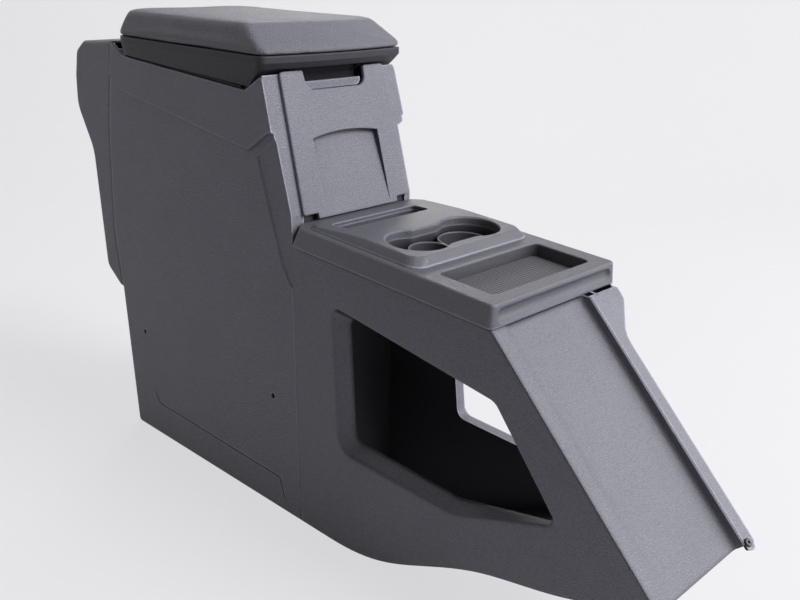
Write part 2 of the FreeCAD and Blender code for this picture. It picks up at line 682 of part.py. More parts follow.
def tray_outline(inset, chamfer, grow=0.0):
    """Plan of the tray, inset on three sides and with chamfered rear corners."""
    half = TRAY_HALF - inset - grow
    rear = -TRAY_START - grow
    front = -TRAY_LENGTH + inset + grow
    return [
        (-half, front, TRAY_CORNER_R), (half, front, TRAY_CORNER_R), (half, rear - chamfer, TRAY_CORNER_R),
        (half - chamfer, rear, TRAY_CORNER_R), (-half + chamfer, rear, TRAY_CORNER_R),
        (-half, rear - chamfer, TRAY_CORNER_R)]


def pocket(half, start, end, z0, z1, radius, x=0.0):
    """Rounded block across the tray between two distances from its rear."""
    return prism_z([(x - half, -end, radius), (x + half, -end, radius), (x + half, -start, radius),
                    (x - half, -start, radius)], z0, z1)


def cup_opening(z0, z1, grow=0.0):
    """Opening of two overlapping rounds and a waist."""
    left = Part.makeCylinder(CUP_LEFT_R + grow, z1 - z0, V(CUP_LEFT_X, -CUP_Y, z0))
    right = Part.makeCylinder(CUP_RIGHT_R + grow, z1 - z0, V(CUP_RIGHT_X, -CUP_Y, z0))
    waist = box(CUP_LEFT_X, CUP_RIGHT_X, -CUP_Y - CUP_WAIST - grow, -CUP_Y + CUP_WAIST + grow, z0, z1)
    whole = fuse(left, right, waist)
    line = CUP_WAIST + grow
    creases = [e for e in whole.Edges if abs(e.Vertexes[0].Z - e.Vertexes[-1].Z) > 1
               and abs(abs(e.Vertexes[0].Y + CUP_Y) - line) < 0.05]
    return whole.makeFillet(CUP_BLEND_R, creases)


def make_tray():
    outer = loft([rounded(tray_outline(0, TRAY_CHAMFER_LOW), on_z(0)),
                  rounded(tray_outline(TRAY_INSET, TRAY_CHAMFER_TOP), on_z(TRAY_HIGH))])
    outer = fillet_where(outer, TRAY_EDGE_R, lambda p: p.z > TRAY_HIGH - 0.01)
    inner = loft([rounded(tray_outline(0, TRAY_CHAMFER_LOW, WALL), on_z(-0.01)),
                  rounded(tray_outline(TRAY_INSET, TRAY_CHAMFER_TOP, WALL), on_z(TRAY_HIGH - WALL))])
    shell = outer.cut(inner)
    mat = pocket(MAT_HALF + WALL, MAT_FROM - WALL, MAT_TO + WALL, TRAY_HIGH - MAT_DEEP - WALL, TRAY_HIGH - 1,
                 POCKET_R + WALL)
    slot = pocket(SLOT_HALF + WALL, SLOT_FROM - WALL, SLOT_TO + WALL, TRAY_HIGH - SLOT_DEEP - WALL,
                  TRAY_HIGH - 1, POCKET_R + WALL, SLOT_X)
    shell = fuse(shell, mat, slot, grip(WALL).common(outer))
    shell = shell.cut(pocket(MAT_HALF, MAT_FROM, MAT_TO, TRAY_HIGH - MAT_DEEP, TRAY_HIGH + 5, POCKET_R))
    shell = fillet_where(shell, POCKET_EDGE_R, lambda p: p.z > TRAY_HIGH - 0.01 and abs(p.x) < MAT_HALF + 0.1
                         and MAT_FROM - 0.1 < -p.y < MAT_TO + 0.1)
    shell = shell.cut(slot_hole(TRAY_HIGH + 5))
    shell = shell.cut(cup_opening(0, TRAY_HIGH + 5, CUP_WALL + SEAT_GAP))
    return shell.cut(grip())


def slot_hole(top):
    """Hollow of the slot up to a height."""
    return pocket(SLOT_HALF, SLOT_FROM, SLOT_TO, TRAY_HIGH - SLOT_DEEP, top, POCKET_R, SLOT_X)


def grip(grow=0.0):
    """Cove across the tray's front face, with round ends."""
    middle = (GRIP_LOW + GRIP_HIGH) / 2
    chord = (GRIP_HIGH - GRIP_LOW) / 2
    radius = (chord * chord + GRIP_DEEP * GRIP_DEEP) / (2 * GRIP_DEEP)
    y = -TRAY_LENGTH + TRAY_INSET * middle / TRAY_HIGH - radius + GRIP_DEEP
    ends = [Part.makeSphere(radius + grow, V(x, y, middle)) for x in (-GRIP_HALF, GRIP_HALF)]
    return fuse(rod_x(radius + grow, -GRIP_HALF, GRIP_HALF, y, middle), *ends)


def bezel_outline(inset, z):
    """Rounded plan of the bezel, drawn in, at a height."""
    half = BEZEL_HALF - inset
    front = -BEZEL_TO + inset
    rear = -BEZEL_FROM - inset
    return rounded([(-half, front, BEZEL_CORNER_R), (half, front, BEZEL_CORNER_R),
                    (half, rear, BEZEL_CORNER_R), (-half, rear, BEZEL_CORNER_R)], on_z(z))


def make_bezel():
    base = TRAY_HIGH
    outer = loft([bezel_outline(0, base), bezel_outline(BEZEL_INSET, base + BEZEL_HIGH)])
    # Its top rises from the rear towards the cups
    under = prism_x([(-BEZEL_FROM, base), (-BEZEL_FROM, base + BEZEL_REAR_HIGH),
                     (-BEZEL_CREST_Y, base + BEZEL_HIGH, 4 * BEZEL_HALF), (-BEZEL_TO, base + BEZEL_HIGH),
                     (-BEZEL_TO, base)], -BIG, BIG)
    edge_x = BEZEL_HALF - BEZEL_INSET - BEZEL_CORNER_R
    outer = fillet_where(outer.common(under), BEZEL_EDGE_R, lambda p: p.z > base + 0.5 * BEZEL_REAR_HIGH
                         and (abs(p.x) > edge_x - 0.1 or -p.y > BEZEL_TO - BEZEL_INSET - 0.1))
    ring = outer.cut(slot_hole(base + BEZEL_HIGH + 5))
    ring = ring.cut(cup_opening(base - 5, base + BEZEL_HIGH + 5))
    return fillet_where(ring, CUP_EDGE_R, lambda p: p.z > base + BEZEL_HIGH - 0.01
                        and abs(p.x) < CUP_RIGHT_X + CUP_RIGHT_R + 1 and abs(p.y + CUP_Y) < CUP_RIGHT_R + 1)


def make_cup_insert():
    top = TRAY_HIGH
    floor = top - CUP_DEEP
    ledge = top - CUP_STEP
    solid = cup_opening(ledge - CUP_WALL, top, CUP_WALL).cut(cup_opening(ledge, top + 5))
    # Each well has a ring that stands up from the ledge
    high = ledge + CUP_RING - floor + CUP_WALL
    wells = [Part.makeCylinder(r + CUP_WALL, high, V(x, -CUP_Y, floor - CUP_WALL)) for x, r in WELLS]
    solid = fuse(solid, *wells)
    for x, r in WELLS:
        solid = solid.cut(Part.makeCylinder(r, high, V(x, -CUP_Y, floor)))
    return solid


def make_mat():
    floor = TRAY_HIGH - MAT_DEEP
    return pocket(MAT_HALF - MAT_GAP, MAT_FROM + MAT_GAP, MAT_TO - MAT_GAP, floor, floor + MAT_THICK,
                  POCKET_R - MAT_GAP)


# Lid

def seam_z(y):
    """Height of the seam between lid shell and pad."""
    share = (y - LID_FRONT_Y) / (LID_REAR_Y - LID_FRONT_Y)
    return LID_SEAM_FRONT + (LID_SEAM_REAR - LID_SEAM_FRONT) * share


def lid_under_z(y):
    """Height of the lid's straight underside."""
    (y0, z0), (y1, z1) = LID_UNDER[1], LID_UNDER[0]
    return z0 + (z1 - z0) * (y - y0) / (y1 - y0)


def lid_plan(inset_side, inset_front, inset_rear, z):
    """Plan of the lid with a bowed front edge, as a wire at a height."""
    half = LID_HALF - inset_side
    front = LID_FRONT_Y + inset_front
    rear = LID_REAR_Y - inset_rear
    rf, rr = LID_CORNER_FRONT, LID_CORNER_REAR
    s = math.sqrt(0.5)
    bow = Part.Arc(V(-half + rf, front, z), V(0, front - LID_BOW, z), V(half - rf, front, z)).toShape()
    return Part.Wire([
        bow,
        Part.Arc(V(half - rf, front, z), V(half - rf + rf * s, front + rf - rf * s, z),
                 V(half, front + rf, z)).toShape(),
        Part.makeLine(V(half, front + rf, z), V(half, rear - rr, z)),
        Part.Arc(V(half, rear - rr, z), V(half - rr + rr * s, rear - rr + rr * s, z),
                 V(half - rr, rear, z)).toShape(),
        Part.makeLine(V(half - rr, rear, z), V(-half + rr, rear, z)),
        Part.Arc(V(-half + rr, rear, z), V(-half + rr - rr * s, rear - rr + rr * s, z),
                 V(-half, rear - rr, z)).toShape(),
        Part.makeLine(V(-half, rear - rr, z), V(-half, front + rf, z)),
        Part.Arc(V(-half, front + rf, z), V(-half + rf - rf * s, front + rf - rf * s, z),
                 V(-half + rf, front, z)).toShape()])


def tilt_lid(shape):
    """Tilts a level shape made with its seam at z = 0 to the lid's own slight slope."""
    angle = math.degrees(math.atan2(LID_SEAM_REAR - LID_SEAM_FRONT, LID_REAR_Y - LID_FRONT_Y))
    placed = shape.copy()
    placed.rotate(V(0, LID_FRONT_Y, 0), X_AXIS, angle)
    placed.translate(V(0, 0, LID_SEAM_FRONT))
    return placed


def lid_pan(inset, floor):
    """Solid under the seam, tucked in towards its lower edge."""
    band = Part.Face(lid_plan(inset, inset, inset, -LID_BAND)).extrude(V(0, 0, LID_BAND + inset))
    tuck = loft([lid_plan(inset + LID_TUCK, inset + LID_TUCK_FRONT, inset + LID_TUCK_REAR, -LID_DEEP),
                 lid_plan(inset, inset, inset, -LID_BAND)])
    whole = tilt_lid(fuse(band, tuck))
    front, rear = LID_FRONT_Y - LID_HALF, LID_REAR_Y + LID_HALF
    under = [(y, z + floor) for y, z in LID_UNDER]
    keep = prism_x([(rear, under[0][1] + 1), (*under[0], 8), (*under[1], 10), (*under[2], 8),
                    (front, under[2][1] + 1), (front, BIG), (rear, BIG)], -BIG, BIG)
    return whole.common(keep)


def make_lid_shell():
    """Shallow pan with a bay for the latch paddle and two cheeks for its pin."""
    whole = lid_pan(0.0, 0.0)
    shell = whole.cut(lid_pan(WALL, WALL))
    half = LATCH_HALF + LATCH_SIDE_GAP
    front, back = LID_FRONT_Y + LATCH_FRONT_GAP, TUB_FRONT_Y + STRIKER_ROOM
    top = LATCH_Z + LATCH_BARREL_R + 1.0
    bay = box(-half, half, front, back, 0, top)
    walls = box(-half - WALL, half + WALL, front - WALL, back + WALL, 0, top + LATCH_ROOF).common(whole)
    low = LATCH_Z - LATCH_BARREL_R - 1.5
    cheeks = [box(x, x + WALL, LATCH_Y - LATCH_BARREL_R - 1, back, low, top) for x in (-half - WALL, half)]
    pin = rod_x(LATCH_PIN_R, -half - WALL, half + WALL, LATCH_Y, LATCH_Z)
    return fuse(shell, walls, *cheeks).cut(bay).cut(pin)


def make_board():
    """Board under the pad, let into the shell."""
    inset = WALL + SEAT_GAP
    board = Part.Face(lid_plan(inset, inset, inset, -BOARD_THICK)).extrude(V(0, 0, BOARD_THICK))
    return tilt_lid(board)


def make_pad():
    """Cushion with a crowned top and wide bevels, widest just above the seam."""
    foot = Part.Face(lid_plan(PAD_INSET, PAD_INSET, PAD_INSET, PAD_GAP)).extrude(V(0, 0, PAD_FOOT))
    shoulder = lid_plan(PAD_BEVEL_SIDE, PAD_BEVEL_FRONT, PAD_BEVEL_REAR, PAD_HIGH)
    bevel = loft([lid_plan(PAD_INSET, PAD_INSET, PAD_INSET, PAD_GAP + PAD_FOOT), shoulder])
    run = PAD_CROWN_RUN
    crown = loft([shoulder, lid_plan(PAD_BEVEL_SIDE + run, PAD_BEVEL_FRONT + run, PAD_BEVEL_REAR + run,
                                     PAD_HIGH + PAD_CROWN)])
    return tilt_lid(fuse(foot, bevel, crown))


# Hinge and latch

def knuckles():
    """Lengths of hinge barrel along x: fixed ones first, then the lid's."""
    step = 2 * HINGE_HALF / 5
    spans = [(-HINGE_HALF + i * step + KNUCKLE_GAP / 2, -HINGE_HALF + (i + 1) * step - KNUCKLE_GAP / 2)
             for i in range(5)]
    return spans[0::2], spans[1::2]


def make_hinge_fixed():
    """Fixed leaf on the back of the tub; its arms pass under the lid's rear edge."""
    fixed, moving = knuckles()
    rear = TUB_REAR_Y
    shelf = lid_under_z(LID_REAR_Y) - BRACKET_UNDER
    body = box(-HINGE_HALF, HINGE_HALF, rear, rear + LEAF_THICK, shelf - BRACKET_LOW, shelf)
    back = HINGE_Y + KNUCKLE_R
    for x0, x1 in fixed:
        foot = box(x0, x1, rear, back, shelf - LEAF_THICK, shelf)
        arm = box(x0, x1, back - 2 * LEAF_THICK, back, shelf - LEAF_THICK, HINGE_Z)
        body = fuse(body, foot, arm, rod_x(KNUCKLE_R, x0, x1, HINGE_Y, HINGE_Z))
    return body.cut(rod_x(PIN_R, -BIG, BIG, HINGE_Y, HINGE_Z))


def make_hinge_leaf():
    fixed, moving = knuckles()
    body = None
    for x0, x1 in moving:
        barrel = rod_x(KNUCKLE_R, x0, x1, HINGE_Y, HINGE_Z)
        arm = box(x0, x1, LID_REAR_Y, HINGE_Y, HINGE_Z - KNUCKLE_R, HINGE_Z - KNUCKLE_R + LEAF_THICK)
        piece = fuse(barrel, arm)
        body = piece if body is None else fuse(body, piece)
    plate = box(-HINGE_HALF, HINGE_HALF, LID_REAR_Y, LID_REAR_Y + LEAF_PLATE, HINGE_Z - LEAF_PLATE_LOW,
                HINGE_Z - LEAF_PLATE_TOP)
    body = fuse(body, plate)
    return body.cut(rod_x(PIN_R + PIN_CLEAR, -BIG, BIG, HINGE_Y, HINGE_Z))


def make_hinge_pin():
    return rod_x(PIN_R, -HINGE_HALF - PIN_PAST, HINGE_HALF + PIN_PAST, HINGE_Y, HINGE_Z)


def make_latch_pin():
    half = LATCH_HALF + LATCH_SIDE_GAP + WALL
    return rod_x(LATCH_PIN_R, -half, half, LATCH_Y, LATCH_Z)


def make_latch():
    """Paddle with a deep lip at its foot, a plate up to its barrel and a nose behind."""
    foot_y = lean_y(LATCH_FOOT_Z) + LATCH_LIP_BACK
    lip_z = LATCH_FOOT_Z + LATCH_LIP_HIGH
    lip_y = lean_y(lip_z) + LATCH_LIP_BACK
    plate_y = LATCH_Y - LATCH_BARREL_R
    tab = prism_x([(foot_y, LATCH_FOOT_Z, 1.5), (foot_y + LATCH_LIP_DEEP, LATCH_FOOT_Z, 1.5),
                   (plate_y + LATCH_THICK, lip_z, 1.5), (plate_y + LATCH_THICK, LATCH_Z), (plate_y, LATCH_Z),
                   (plate_y, lip_z, 1.5), (lip_y, lip_z, 1.5)], -LATCH_HALF, LATCH_HALF)
    corners = prism_y([(-LATCH_HALF, LATCH_FOOT_Z - 0.1, LATCH_CORNER_R),
                       (LATCH_HALF, LATCH_FOOT_Z - 0.1, LATCH_CORNER_R),
                       (LATCH_HALF, BIN_TOP_REAR), (-LATCH_HALF, BIN_TOP_REAR)], 0, LATCH_Y + WALL)
    tab = tab.common(corners)
    barrel = rod_x(LATCH_BARREL_R, -LATCH_HALF, LATCH_HALF, LATCH_Y, LATCH_Z)
    tip = striker_face() - STRIKER_GAP
    nose_z = LATCH_Z - NOSE_DROP
    nose = prism_x([(plate_y, nose_z - NOSE_HIGH / 2 - 1), (tip, nose_z - NOSE_HIGH / 2, 1.0),
                    (tip, nose_z + NOSE_HIGH / 2, 1.0), (plate_y, nose_z + NOSE_HIGH / 2 + 2)],
                   -NOSE_HALF, NOSE_HALF)
    body = fuse(tab, barrel, nose)
    return body.cut(rod_x(LATCH_PIN_R + PIN_CLEAR, -BIG, BIG, LATCH_Y, LATCH_Z))


def striker_face():
    return TUB_FRONT_Y - STRIKER_PROUD


def make_striker():
    """Catch plate on the front wall of the tub, standing above it."""
    top_of_wall = rim_z(TUB_FRONT_Y)
    return prism_x([(striker_face(), STRIKER_TOP, 0.8), (TUB_FRONT_Y, STRIKER_TOP, 0.8),
                    (TUB_FRONT_Y, top_of_wall - STRIKER_LAP), (striker_face(), top_of_wall - STRIKER_LAP)],
                   -NOSE_HALF, NOSE_HALF)


parts = {}
parts["left_side_panel"] = make_left_side(STRIP_DEPTH)
parts["right_side_panel"] = mirrored(make_left_side(STRIP_DEPTH_RIGHT))
parts["rear_cover"] = make_rear_cover()
parts["bulkhead"] = make_bulkhead()
parts["bin_front_panel"] = make_front_panel()
parts["bin_tub"] = make_tub()
parts["lid_bumpers"] = make_bumpers().cut(parts["bin_tub"])
parts["rear_wall"] = make_rear_wall()
parts["front_shell"] = make_front_shell()
parts["right_front_panel"] = make_right_front()
parts["flange_screw"] = flange_screw()
parts["tray_top"] = tray_place(make_tray())
parts["cup_bezel"] = tray_place(make_bezel())
parts["cup_insert"] = tray_place(make_cup_insert())
parts["tray_mat"] = tray_place(make_mat())
parts["lid_shell"] = make_lid_shell()
parts["lid_board"] = make_board()
parts["armrest_pad"] = make_pad()
parts["hinge_bracket"] = make_hinge_fixed()
parts["hinge_leaf"] = make_hinge_leaf().cut(parts["lid_shell"])
parts["hinge_pin"] = make_hinge_pin()
parts["latch_pin"] = make_latch_pin()
parts["latch_paddle"] = make_latch()
parts["latch_striker"] = make_striker()

# The origin is the middle of the footprint, on the floor
extents = [shape.optimalBoundingBox() for shape in parts.values()]
middle_y = (min(b.YMin for b in extents) + max(b.YMax for b in extents)) / 2
os.makedirs("parts", exist_ok=True)
for name, shape in parts.items():
    shape.translate(V(0, -middle_y, 0))
    shape.exportStep("parts/" + name + ".step")
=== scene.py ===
import json
import math
import bpy
from mathutils import Matrix, Vector

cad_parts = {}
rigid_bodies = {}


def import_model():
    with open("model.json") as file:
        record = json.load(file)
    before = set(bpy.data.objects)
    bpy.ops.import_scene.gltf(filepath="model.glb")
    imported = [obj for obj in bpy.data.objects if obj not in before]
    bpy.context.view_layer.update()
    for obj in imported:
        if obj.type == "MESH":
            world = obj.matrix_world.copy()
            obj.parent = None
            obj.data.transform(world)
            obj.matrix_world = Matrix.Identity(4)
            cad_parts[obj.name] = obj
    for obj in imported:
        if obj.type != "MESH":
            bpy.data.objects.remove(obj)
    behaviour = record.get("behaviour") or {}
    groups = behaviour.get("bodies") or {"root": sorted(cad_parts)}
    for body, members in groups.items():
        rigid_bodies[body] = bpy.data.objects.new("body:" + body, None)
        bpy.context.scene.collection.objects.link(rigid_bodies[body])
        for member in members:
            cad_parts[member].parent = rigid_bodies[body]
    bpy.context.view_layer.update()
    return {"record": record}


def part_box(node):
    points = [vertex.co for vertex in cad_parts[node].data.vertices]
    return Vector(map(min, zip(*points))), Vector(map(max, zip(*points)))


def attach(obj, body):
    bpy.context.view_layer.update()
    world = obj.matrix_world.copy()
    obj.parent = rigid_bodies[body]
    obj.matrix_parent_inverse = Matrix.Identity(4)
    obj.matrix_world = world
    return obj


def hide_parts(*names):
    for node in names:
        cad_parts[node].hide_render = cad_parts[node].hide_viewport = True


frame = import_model()

MM = 0.001
BULKHEAD_BEHIND_SEAM = 3 * MM
LIP_DEPTH = 5 * MM
# y of the seam between bin and front section in the model's frame
SEAM_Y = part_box("bulkhead")[0][1] - BULKHEAD_BEHIND_SEAM
# y of the back of the paddle's lip
LIP_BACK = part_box("latch_paddle")[0][1] + LIP_DEPTH


# Node helpers

# places of the factor, colours and result on a Mix node that mixes colours
MIX_FACTOR, MIX_FIRST, MIX_SECOND, MIX_RESULT = 0, 6, 7, 2
# where most values of a noise texture lie
NOISE_RANGE = (0.3, 0.7)


def tools(tree):
    """Empties a node tree; returns functions that add a node to it and link two sockets."""
    tree.nodes.clear()

    def add(kind, **values):
        node = tree.nodes.new(kind)
        for key, value in values.items():
            if key in node.inputs:
                node.inputs[key].default_value = value
            else:
                setattr(node, key, value)
        return node

    def link(source, target):
        tree.links.new(source, target)

    return add, link


def fresh(name):
    """A material with an empty node tree, with its add and link functions."""
    material = bpy.data.materials.new(name)
    material.use_nodes = True
    return (material, *tools(material.node_tree))


def blend_colour(add, link, factor, dark, light):
    """Colour that runs from dark to light with a factor."""
    mix = add("ShaderNodeMix", data_type="RGBA")
    mix.inputs[MIX_FIRST].default_value = (*dark, 1)
    mix.inputs[MIX_SECOND].default_value = (*light, 1)
    link(factor, mix.inputs[MIX_FACTOR])
    return mix.outputs[MIX_RESULT]


def shaded(add, link, colour, shade):
    """Colour times a shade."""
    mix = add("ShaderNodeMix", data_type="RGBA", blend_type="MULTIPLY")
    mix.inputs[MIX_FACTOR].default_value = 1.0
    link(colour, mix.inputs[MIX_FIRST])
    link(shade, mix.inputs[MIX_SECOND])
    return mix.outputs[MIX_RESULT]


def coated(add, link, colour, coat, factor):
    """Colour under a plain coat that covers it where the factor is 1."""
    mix = add("ShaderNodeMix", data_type="RGBA")
    mix.inputs[MIX_SECOND].default_value = (*coat, 1)
    link(factor, mix.inputs[MIX_FACTOR])
    link(colour, mix.inputs[MIX_FIRST])
    return mix.outputs[MIX_RESULT]


def spread(add, link, source, low, high, to_low=0.0, to_high=1.0):
    """Maps a value from one range to another."""
    node = add("ShaderNodeMapRange")
    ends = {"From Min": low, "From Max": high, "To Min": to_low, "To Max": to_high}
    for key, value in ends.items():
        node.inputs[key].default_value = value
    link(source, node.inputs["Value"])
    return node.outputs["Result"]


def reckon(add, link, operation, first, second):
    """Math on a socket and a second socket or number."""
    node = add("ShaderNodeMath", operation=operation)
    link(first, node.inputs[0])
    if isinstance(second, (int, float)):
        node.inputs[1].default_value = second
    else:
        link(second, node.inputs[1])
    return node.outputs[0]


def split(add, link, vector):
    """The X, Y and Z outputs of a vector."""
    node = add("ShaderNodeSeparateXYZ")
    link(vector, node.inputs[0])
    return node.outputs


def noise(add, link, where, **values):
    """Noise texture at a place."""
    node = add("ShaderNodeTexNoise", **values)
    link(where, node.inputs["Vector"])
    return node.outputs


def bumped(add, link, height, strength, distance, normal=None):
    """Normal with a height on it."""
    node = add("ShaderNodeBump", Strength=strength, Distance=distance)
    link(height, node.inputs["Height"])
    if normal:
        link(normal, node.inputs["Normal"])
    return node.outputs["Normal"]


def cover_with(add, link, shader):
    """Makes a shader the material's surface."""
    link(shader.outputs[0], add("ShaderNodeOutputMaterial").inputs["Surface"])


# Moulded and sewn skins. A cell is one pebble of the grain, and the scales of the warp and tooth
# are per cell.

CELL_RANDOM, CELL_RIM = 0.95, 0.22
WARP_SCALE, WARP_DETAIL, WARP_PUSH = 0.35, 2.0, 0.8
TOOTH_SCALE, TOOTH_DETAIL, TOOTH_ROUGH = 2.6, 4.0, 0.6
TOOTH_RANGE = (0.25, 0.75)
SLOW_SCALE, SLOW_DETAIL, SLOW_ROUGH = 9.0, 3.0, 0.55
PEBBLE_BUMP, TOOTH_BUMP, TOOTH_SHARE = 0.8, 0.3, 0.4
VARIATION = 0.05
VALLEY_SHADE = 0.66
GLOSS_SPAN = 0.06
SHEEN_ROUGH = 0.45
EDGE, EDGE_SAMPLES = 1.2 * MM, 4
# reach, samples, range and darkest factor of the painted shade in hollows
HOLLOW_REACH, HOLLOW_SAMPLES = 35 * MM, 8
HOLLOW_RANGE, HOLLOW_SHADE = (0.3, 0.92), 0.3
# reach, samples and range of the painted highlight on outer edges
EDGE_LIGHT_REACH, EDGE_LIGHT_SAMPLES = 2.4 * MM, 6
EDGE_LIGHT_RANGE = (0.5, 0.92)
# dark colour of the raw inner plastic, also the coat of painted shade and shadow
RAW_PLASTIC_AND_SHADE = (0.024, 0.024, 0.03)
SHADE_COAT_ROUGH = 0.85
SHADE_COAT_FADE = 2 * MM
# how far a face turns inward or down, by its normal, before it gets the coat of painted shade
TURNED_INWARD, TURNED_DOWN = (0.5, 0.7), (-0.3, -0.5)


def faces_inward(add, link, side):
    """1 on faces that look down or towards the inside of a wall at that side of the part, else 0."""
    normal = split(add, link, add("ShaderNodeNewGeometry").outputs["True Normal"])
    place = split(add, link, add("ShaderNodeTexCoord").outputs["Object"])
    inward = reckon(add, link, "MULTIPLY", normal["X"], -side)
    own_half = reckon(add, link, "MULTIPLY", place["X"], side)
    on_side = reckon(add, link, "GREATER_THAN", own_half, 0.0)
    turned = spread(add, link, inward, *TURNED_INWARD)
    within = reckon(add, link, "MULTIPLY", turned, on_side)
    below = spread(add, link, normal["Z"], *TURNED_DOWN)
    return reckon(add, link, "MAXIMUM", within, below)


def grained(name, colour, rough, cell, depth, sheen=0.0, edge=EDGE, specular=0.5,
            shade_side=0, shade_from=None, painted_edge_light=0.0):
    """Moulded or sewn skin: pebbled cells, fine tooth, slow colour and gloss variation.

    Cell and depth are in millimetres. Given a side of -1 or 1, the inner faces of that side's
    wall and all faces that look down get a dark coat of painted shade; given a y, all that lies
    behind that y gets it as painted shadow. The last argument lightens the outer edges in the
    colour, a painted highlight.
    """
    material, add, link = fresh(name)
    where = add("ShaderNodeTexCoord").outputs["Object"]
    cell, depth = cell * MM, depth * MM
    warp = noise(add, link, where, Scale=WARP_SCALE / cell, Detail=WARP_DETAIL)
    push = add("ShaderNodeVectorMath", operation="MULTIPLY_ADD")
    push.inputs[1].default_value = (WARP_PUSH * cell,) * 3
    link(warp["Color"], push.inputs[0])
    link(where, push.inputs[2])
    cells = add("ShaderNodeTexVoronoi", feature="DISTANCE_TO_EDGE", Scale=1 / cell,
                Randomness=CELL_RANDOM)
    link(push.outputs[0], cells.inputs["Vector"])
    pebble = spread(add, link, cells.outputs["Distance"], 0.0, CELL_RIM)
    tooth = noise(add, link, where, Scale=TOOTH_SCALE / cell, Detail=TOOTH_DETAIL,
                  Roughness=TOOTH_ROUGH)["Fac"]
    slow = noise(add, link, where, Scale=SLOW_SCALE, Detail=SLOW_DETAIL, Roughness=SLOW_ROUGH)["Fac"]

    dark = tuple(c * (1 - VARIATION) for c in colour)
    light = tuple(c * (1 + VARIATION) for c in colour)
    tone = blend_colour(add, link, spread(add, link, slow, *NOISE_RANGE), dark, light)
    tone = shaded(add, link, tone, spread(add, link, pebble, 0.0, 1.0, VALLEY_SHADE, 1.0))
    # Painted shade: corners and hollows, found by ambient occlusion, are darkened in the colour
    hollow_shade = add("ShaderNodeAmbientOcclusion", samples=HOLLOW_SAMPLES, only_local=True,
                 Distance=HOLLOW_REACH).outputs["AO"]
    tone = shaded(add, link, tone, spread(add, link, hollow_shade, *HOLLOW_RANGE, HOLLOW_SHADE, 1.0))
    # Painted highlight: outer edges, found by ambient occlusion from inside the part, are lightened in
    # the colour
    if painted_edge_light:
        rim = add("ShaderNodeAmbientOcclusion", samples=EDGE_LIGHT_SAMPLES, inside=True, only_local=True,
                  Distance=EDGE_LIGHT_REACH).outputs["AO"]
        tone = shaded(add, link, tone, spread(add, link, rim, *EDGE_LIGHT_RANGE, 1.0 + painted_edge_light, 1.0))
    gloss = spread(add, link, tooth, *TOOTH_RANGE, rough - GLOSS_SPAN, rough + GLOSS_SPAN)

    # Painted shade: inner and downward faces, or all that lies behind a y, get a dark coat in the
    # colour
    shade_coat = None
    if shade_side:
        shade_coat = faces_inward(add, link, shade_side)
    elif shade_from is not None:
        shade_coat = spread(add, link, split(add, link, where)["Y"], shade_from, shade_from + SHADE_COAT_FADE)
    if shade_coat:
        tone = coated(add, link, tone, RAW_PLASTIC_AND_SHADE, shade_coat)
        dullest = spread(add, link, shade_coat, 0.0, 1.0, 0.0, SHADE_COAT_ROUGH)
        gloss = reckon(add, link, "MAXIMUM", gloss, dullest)

    soft = add("ShaderNodeBevel", samples=EDGE_SAMPLES, Radius=edge).outputs["Normal"]
    pebbled = bumped(add, link, pebble, PEBBLE_BUMP, depth, soft)
    skin = add("ShaderNodeBsdfPrincipled", Roughness=rough)
    skin.inputs["Specular IOR Level"].default_value = specular
    skin.inputs["Sheen Weight"].default_value = sheen
    skin.inputs["Sheen Roughness"].default_value = SHEEN_ROUGH
    link(tone, skin.inputs["Base Color"])
    link(gloss, skin.inputs["Roughness"])
    link(bumped(add, link, tooth, TOOTH_BUMP, TOOTH_SHARE * depth, pebbled), skin.inputs["Normal"])
    cover_with(add, link, skin)
    return material


# Metal: streaks run along x, and the patches are a few millimetres wide

STREAKS = (60, 900, 900)
STREAK_BUMP, STREAK_DEPTH = 0.2, 0.06 * MM
PATCH_SCALE = 120.0
METAL_EDGE = 0.4 * MM
PATCH_DARK, PATCH_LIGHT = 0.85, 1.1
PATCH_SMOOTHER, PATCH_ROUGHER = 0.08, 0.1
METAL_DETAIL = 3.0


def brushed(name, colour, rough, metal):
    """Plated or coated metal with fine streaks and a few dull patches."""
    material, add, link = fresh(name)
    where = add("ShaderNodeTexCoord").outputs["Object"]
    stretch = add("ShaderNodeMapping", Scale=STREAKS)
    link(where, stretch.inputs["Vector"])
    streak = noise(add, link, stretch.outputs[0], Scale=1.0, Detail=METAL_DETAIL)["Fac"]
    patch = noise(add, link, where, Scale=PATCH_SCALE, Detail=METAL_DETAIL)["Fac"]
    soft = add("ShaderNodeBevel", samples=EDGE_SAMPLES, Radius=METAL_EDGE).outputs["Normal"]
    dark = tuple(PATCH_DARK * c for c in colour)
    light = tuple(PATCH_LIGHT * c for c in colour)
    gloss = spread(add, link, patch, *NOISE_RANGE, rough - PATCH_SMOOTHER, rough + PATCH_ROUGHER)
    skin = add("ShaderNodeBsdfPrincipled", Metallic=metal)
    link(blend_colour(add, link, patch, dark, light), skin.inputs["Base Color"])
    link(gloss, skin.inputs["Roughness"])
    link(bumped(add, link, streak, STREAK_BUMP, STREAK_DEPTH, soft), skin.inputs["Normal"])
    cover_with(add, link, skin)
    return material


# Mat: the groove between nubs is given as shares of the pitch

GROOVE, NUB = 0.1, 0.17
GROOVE_SHADE = 0.12
NUB_BUMP, NUB_HEIGHT = 0.8, 0.6 * MM
DUST_SCALE, DUST_DETAIL = 700.0, 3.0
DUST_BUMP, DUST_HEIGHT = 0.2, 0.1 * MM
RUBBER_ROUGH, RUBBER_SMOOTHEST, RUBBER_ROUGHEST = 0.7, 0.6, 0.8


